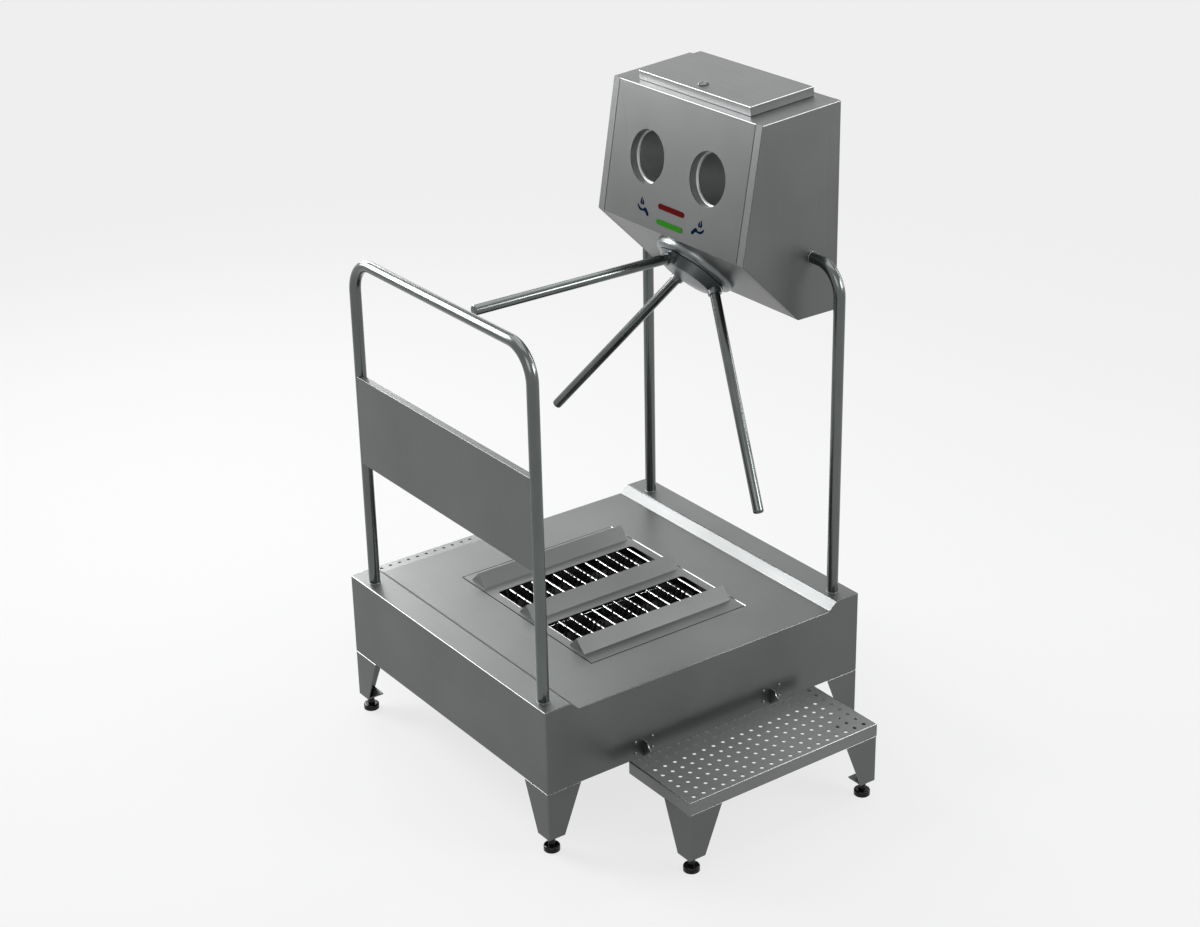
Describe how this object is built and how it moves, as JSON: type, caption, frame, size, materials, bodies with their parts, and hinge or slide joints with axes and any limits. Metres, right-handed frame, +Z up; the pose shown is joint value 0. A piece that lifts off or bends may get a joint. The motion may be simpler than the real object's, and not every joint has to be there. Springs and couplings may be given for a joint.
{
  "type": "hygiene turnstile",
  "caption": "Walk-over sole-cleaning platform with powered brushes, steps, a handrail, and a hand-disinfection head that frees a three-armed turnstile.",
  "frame": {"origin": "on the floor, under the middle of the whole object's box", "axes": "+Z up, +Y the walking direction, +X from the handrail towards the head"},
  "size_m": [1.036, 1.532, 1.7143],
  "materials": {
    "sheet": "satin folded stainless sheet",
    "tube": "polished stainless tube",
    "bright": "polished",
    "brush_core": "turned",
    "black_plastic": "matt black",
    "black_foot": "glossy black",
    "belt": "smooth rubber",
    "motor": "satin paint",
    "dark_metal": "dark paint",
    "box": "light grey paint",
    "red": "red lens",
    "green": "green lens",
    "tank": "milky moulded plastic",
    "cap": "blue plastic"
  },
  "bodies": {
    "frame": {"tub_casing": "sheet", "cover_rim": "sheet", "brush_basin": "sheet", "drain_spout": "sheet", "brush_bearings": "bright", "gear_motor": "motor", "drive_belt": "belt", "spray_bar": "bright", "cable_gland": "black_plastic", "platform_legs": "sheet", "platform_feet": "black_foot", "step_legs": "sheet", "step_feet": "black_foot", "entry_step": "sheet", "exit_step": "sheet", "step_brackets": "sheet", "handrail_tube": "tube", "handrail_panel": "sheet", "head_post_front": "tube", "head_post_back": "tube", "head_shell": "sheet", "front_panel": "sheet", "cheek_front": "sheet", "cheek_back": "sheet", "hand_pot_front": "sheet", "hand_pot_back": "sheet", "red_lens": "red", "green_lens": "green", "reservoir": "tank", "tank_shelf": "sheet", "dosing_pump": "dark_metal", "spray_nozzles": "bright", "control_box": "box", "hub_flange": "bright", "bearing_housing": "sheet", "shaft_bearings": "bright", "lock_solenoid": "dark_metal", "rotary_damper": "dark_metal", "lid_hinge": "bright"},
    "deck_cover": {"deck_cover": "sheet", "foot_ridges": "sheet", "grille_rods_front": "bright", "grille_rods_back": "bright"},
    "brush_front": {"brush_body_front": "brush_core", "brush_bristles_front": "black_plastic", "brush_pulley_front": "brush_core"},
    "brush_back": {"brush_body_back": "brush_core", "brush_bristles_back": "black_plastic", "brush_pulley_back": "brush_core"},
    "motor_pulley": {"motor_pulley": "brush_core"},
    "turnstile": {"rotor_hub": "bright", "rotor_arm_1": "tube", "rotor_arm_2": "tube", "rotor_arm_3": "tube", "rotor_shaft": "bright", "index_disc": "sheet"},
    "lock_bolt": {"lock_bolt": "bright"},
    "lid": {"lid": "sheet"},
    "lid_lock": {"lid_lock": "bright"},
    "tank_cap": {"tank_cap": "cap"}
  },
  "joints": [
    {"name": "turnstile_turn", "type": "hinge", "parent": "frame", "child": "turnstile", "pos_m": [0.3015, -0.03, 1.2365], "axis": [-0.7071, 0, -0.7071], "continuous": true},
    {"name": "brush_front_turn", "type": "hinge", "parent": "frame", "child": "brush_front", "pos_m": [-0.018, -0.1485, 0.295], "axis": [1, 0, 0], "continuous": true},
    {"name": "brush_back_turn", "type": "hinge", "parent": "frame", "child": "brush_back", "pos_m": [-0.018, 0.0785, 0.295], "axis": [1, 0, 0], "continuous": true},
    {"name": "motor_turn", "type": "hinge", "parent": "frame", "child": "motor_pulley", "pos_m": [0.257, -0.03, 0.231], "axis": [1, 0, 0], "continuous": true},
    {"name": "cover_lift", "type": "slide", "parent": "frame", "child": "deck_cover", "axis": [0, 0, 1], "range_m": [0, 0.1]},
    {"name": "lid_open", "type": "hinge", "parent": "frame", "child": "lid", "pos_m": [0.50093, -0.03, 1.69478], "axis": [0, 1, 0], "range_deg": [0, 100]},
    {"name": "lid_lock_turn", "type": "hinge", "parent": "lid", "child": "lid_lock", "pos_m": [0.32591, -0.03, 1.70138], "axis": [-0.0767, 0, 0.9971], "range_deg": [0, 90]},
    {"name": "bolt_slide", "type": "slide", "parent": "frame", "child": "lock_bolt", "axis": [0, -1, 0], "range_m": [0, 0.01], "stiffness_N_per_m": 200, "springref_m": -0.01},
    {"name": "cap_turn", "type": "hinge", "parent": "frame", "child": "tank_cap", "pos_m": [0.4, -0.135, 1.66], "axis": [0, 0, 1], "continuous": true}
  ],
  "couplings": [
    {"joint": "brush_back_turn", "follows": "brush_front_turn", "ratio": 1},
    {"joint": "motor_turn", "follows": "brush_front_turn", "ratio": 1.75}
  ]
}
